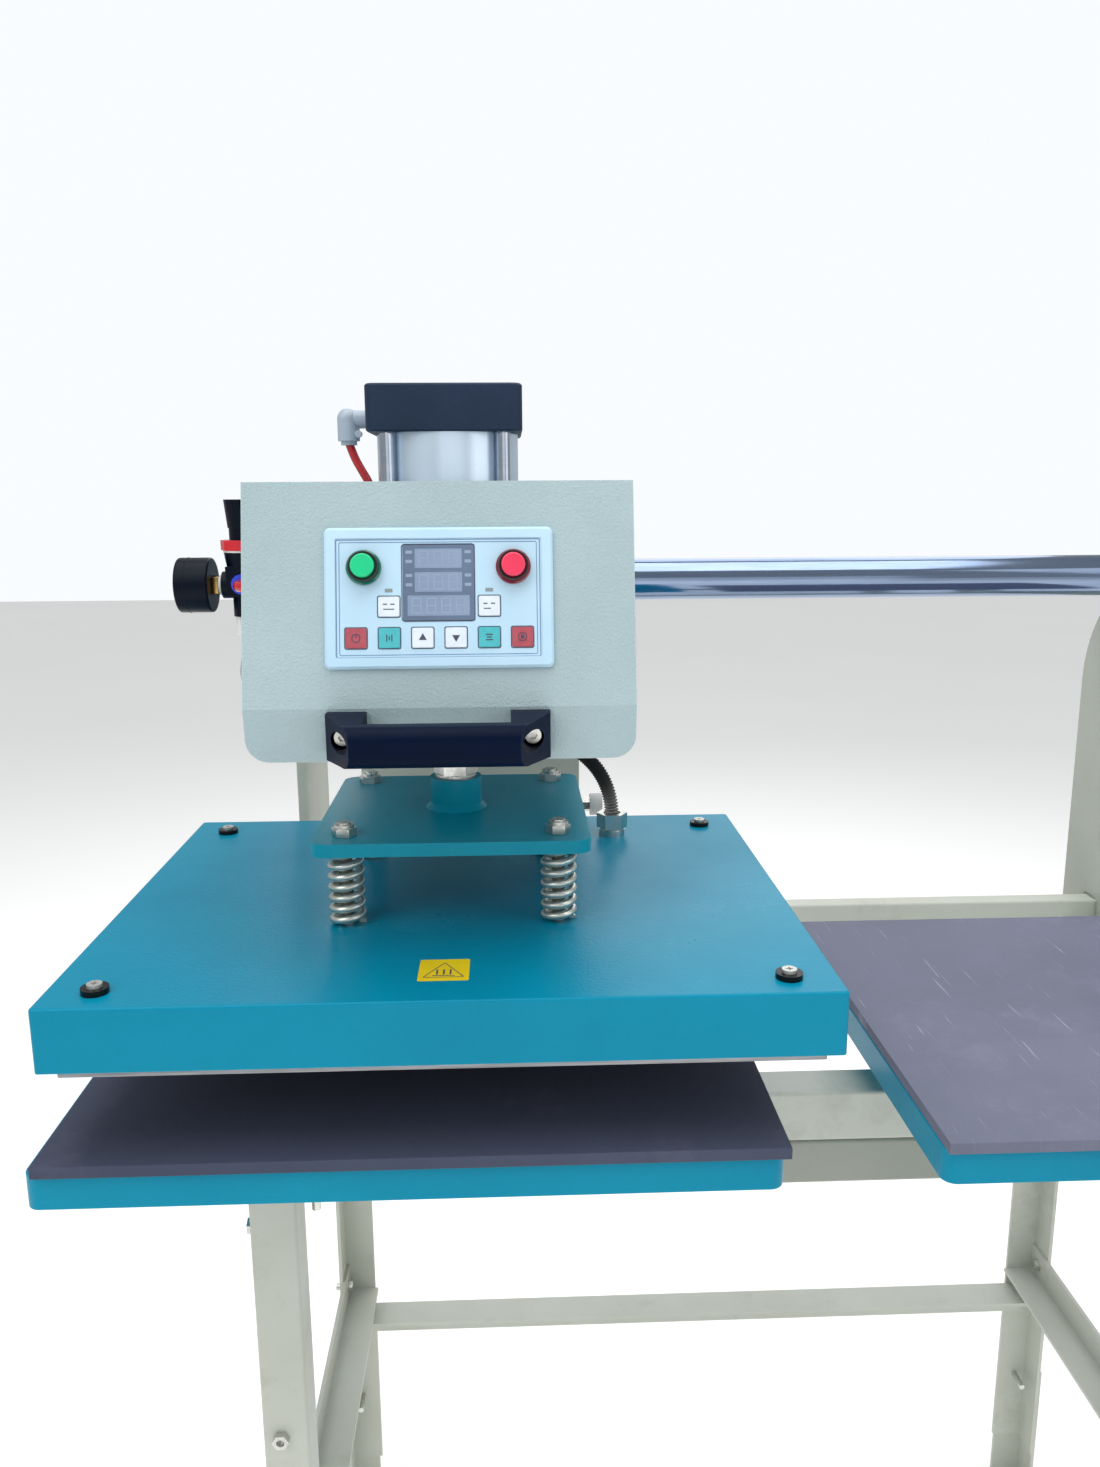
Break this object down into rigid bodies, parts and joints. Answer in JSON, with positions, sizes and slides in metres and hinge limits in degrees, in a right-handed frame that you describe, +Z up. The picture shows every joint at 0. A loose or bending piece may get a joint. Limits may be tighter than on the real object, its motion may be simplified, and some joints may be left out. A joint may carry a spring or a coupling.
{
  "type": "pneumatic double-station heat press",
  "caption": "Floor-standing pneumatic heat press: a press head slides along a rear bar between two padded tables on a legged stand, with a control box, handle and regulator.",
  "frame": {"origin": "on the floor, at the centre of the four anchor holes in the feet", "axes": "+Z up, +X to the operator's right along the shuttle bar, -Y towards the operator"},
  "size_m": [1.116, 0.6625, 1.432],
  "materials": {
    "stand_paint": "satin powder coat",
    "plate_paint": "satin powder coat",
    "teal_paint": "glossy enamel",
    "box_paint": "wrinkle powder coat",
    "cap_paint": "satin",
    "chrome": "polished",
    "zinc": "zinc plated",
    "heater_aluminium": "machined",
    "barrel_aluminium": "anodised satin",
    "bearing_aluminium": "satin",
    "pad_rubber": "matte sponge",
    "blanket": "woven",
    "black_plastic": "satin",
    "grey_plastic": "gloss",
    "green_plastic": "gloss",
    "red_plastic": "gloss",
    "key_red": "matte",
    "key_teal": "matte",
    "key_white": "matte",
    "panel_white": "satin",
    "display": "tinted",
    "red_tube": "gloss",
    "clear_tube": "clear"
  },
  "bodies": {
    "frame": {"upper_legs": "stand_paint", "lower_legs": "stand_paint", "leg_braces": "stand_paint", "stand_rails": "stand_paint", "base_frame": "stand_paint", "side_plates": "plate_paint", "guide_bar": "chrome", "bar_end_caps": "zinc", "table_supports": "stand_paint", "trays": "teal_paint", "pad_left": "pad_rubber", "pad_right": "pad_rubber", "frame_bolts": "zinc"},
    "head": {"carriage_plate": "plate_paint", "bearing_housings": "bearing_aluminium", "head_arms": "plate_paint", "roller_bracket": "plate_paint", "stop_buffers": "zinc", "cylinder_caps": "cap_paint", "cylinder_barrel": "barrel_aluminium", "tie_rods": "zinc", "head_box": "box_paint", "rear_cover": "box_paint", "control_gear": "black_plastic", "panel_bezel": "panel_white", "display_window": "display", "button_barrels": "grey_plastic", "handle": "black_plastic", "handle_screws": "zinc", "regulator_body": "black_plastic", "lock_ring": "red_plastic", "pressure_gauge": "black_plastic", "air_fittings": "grey_plastic", "air_tubes": "red_tube", "clear_hose": "clear_tube", "conduit": "black_plastic"},
    "platen": {"platen_cover": "teal_paint", "heater_plate": "heater_aluminium", "insulation_blanket": "blanket", "spring_studs": "zinc", "springs": "zinc", "cover_screws": "zinc", "conduit_gland": "zinc"},
    "ram": {"piston_rod": "chrome", "rod_nut": "zinc", "spring_plate": "teal_paint"},
    "guide_roller_front": {"guide_roller_front": "zinc"},
    "guide_roller_rear": {"guide_roller_rear": "zinc"},
    "start_button": {"start_button": "green_plastic"},
    "stop_button": {"stop_button": "red_plastic"},
    "regulator_knob": {"regulator_knob": "black_plastic"},
    "gauge_needle": {"gauge_needle": "black_plastic"},
    "key_1": {"key_1": "key_red"},
    "key_2": {"key_2": "key_teal"},
    "key_3": {"key_3": "key_white"},
    "key_4": {"key_4": "key_white"},
    "key_5": {"key_5": "key_teal"},
    "key_6": {"key_6": "key_red"},
    "key_mode_left": {"key_mode_left": "key_white"},
    "key_mode_right": {"key_mode_right": "key_white"}
  },
  "joints": [
    {"name": "head_slide", "type": "slide", "parent": "frame", "child": "head", "axis": [1, 0, 0], "range_m": [-0.027, 0.585]},
    {"name": "platen_press", "type": "slide", "parent": "head", "child": "platen", "axis": [0, 0, -1], "range_m": [0, 0.0587], "stiffness_N_per_m": 3000, "springref_m": -0.2, "deforming": ["conduit"]},
    {"name": "spring_squeeze", "type": "slide", "parent": "platen", "child": "ram", "axis": [0, 0, -1], "range_m": [0, 0.01], "stiffness_N_per_m": 15000, "springref_m": -0.01, "deforming": ["springs"]},
    {"name": "roller_front_spin", "type": "hinge", "parent": "head", "child": "guide_roller_front", "pos_m": [-0.279, 0.1317, 0.87], "axis": [0, 0, 1], "range_deg": [-120, 2420]},
    {"name": "roller_rear_spin", "type": "hinge", "parent": "head", "child": "guide_roller_rear", "pos_m": [-0.279, 0.1843, 0.87], "axis": [0, 0, 1], "range_deg": [-2420, 120]},
    {"name": "start_press", "type": "slide", "parent": "head", "child": "start_button", "axis": [0, 0.9725, -0.2329], "range_m": [0, 0.0025], "stiffness_N_per_m": 400, "springref_m": -0.002},
    {"name": "stop_press", "type": "slide", "parent": "head", "child": "stop_button", "axis": [0, 0.9725, -0.2329], "range_m": [0, 0.0025], "stiffness_N_per_m": 400, "springref_m": -0.002},
    {"name": "knob_turn", "type": "hinge", "parent": "head", "child": "regulator_knob", "pos_m": [-0.428, -0.234, 1.34], "axis": [0, 0, 1], "range_deg": [0, 1440]},
    {"name": "needle_turn", "type": "hinge", "parent": "head", "child": "gauge_needle", "pos_m": [-0.4771, -0.234, 1.29], "axis": [-1, 0, 0], "range_deg": [-270, 0], "stiffness_Nm_per_rad": 0.0002, "springref_deg": 28.65},
    {"name": "key_1_press", "type": "slide", "parent": "head", "child": "key_1", "axis": [0, 0.9725, -0.2329], "range_m": [0, 0.0004], "stiffness_N_per_m": 1500, "springref_m": -0.0004},
    {"name": "key_2_press", "type": "slide", "parent": "head", "child": "key_2", "axis": [0, 0.9725, -0.2329], "range_m": [0, 0.0004], "stiffness_N_per_m": 1500, "springref_m": -0.0004},
    {"name": "key_3_press", "type": "slide", "parent": "head", "child": "key_3", "axis": [0, 0.9725, -0.2329], "range_m": [0, 0.0004], "stiffness_N_per_m": 1500, "springref_m": -0.0004},
    {"name": "key_4_press", "type": "slide", "parent": "head", "child": "key_4", "axis": [0, 0.9725, -0.2329], "range_m": [0, 0.0004], "stiffness_N_per_m": 1500, "springref_m": -0.0004},
    {"name": "key_5_press", "type": "slide", "parent": "head", "child": "key_5", "axis": [0, 0.9725, -0.2329], "range_m": [0, 0.0004], "stiffness_N_per_m": 1500, "springref_m": -0.0004},
    {"name": "key_6_press", "type": "slide", "parent": "head", "child": "key_6", "axis": [0, 0.9725, -0.2329], "range_m": [0, 0.0004], "stiffness_N_per_m": 1500, "springref_m": -0.0004},
    {"name": "key_mode_left_press", "type": "slide", "parent": "head", "child": "key_mode_left", "axis": [0, 0.9725, -0.2329], "range_m": [0, 0.0004], "stiffness_N_per_m": 1500, "springref_m": -0.0004},
    {"name": "key_mode_right_press", "type": "slide", "parent": "head", "child": "key_mode_right", "axis": [0, 0.9725, -0.2329], "range_m": [0, 0.0004], "stiffness_N_per_m": 1500, "springref_m": -0.0004}
  ],
  "couplings": [
    {"joint": "roller_front_spin", "follows": "head_slide", "rad_per_m": 71.43},
    {"joint": "roller_rear_spin", "follows": "head_slide", "rad_per_m": -71.43}
  ]
}
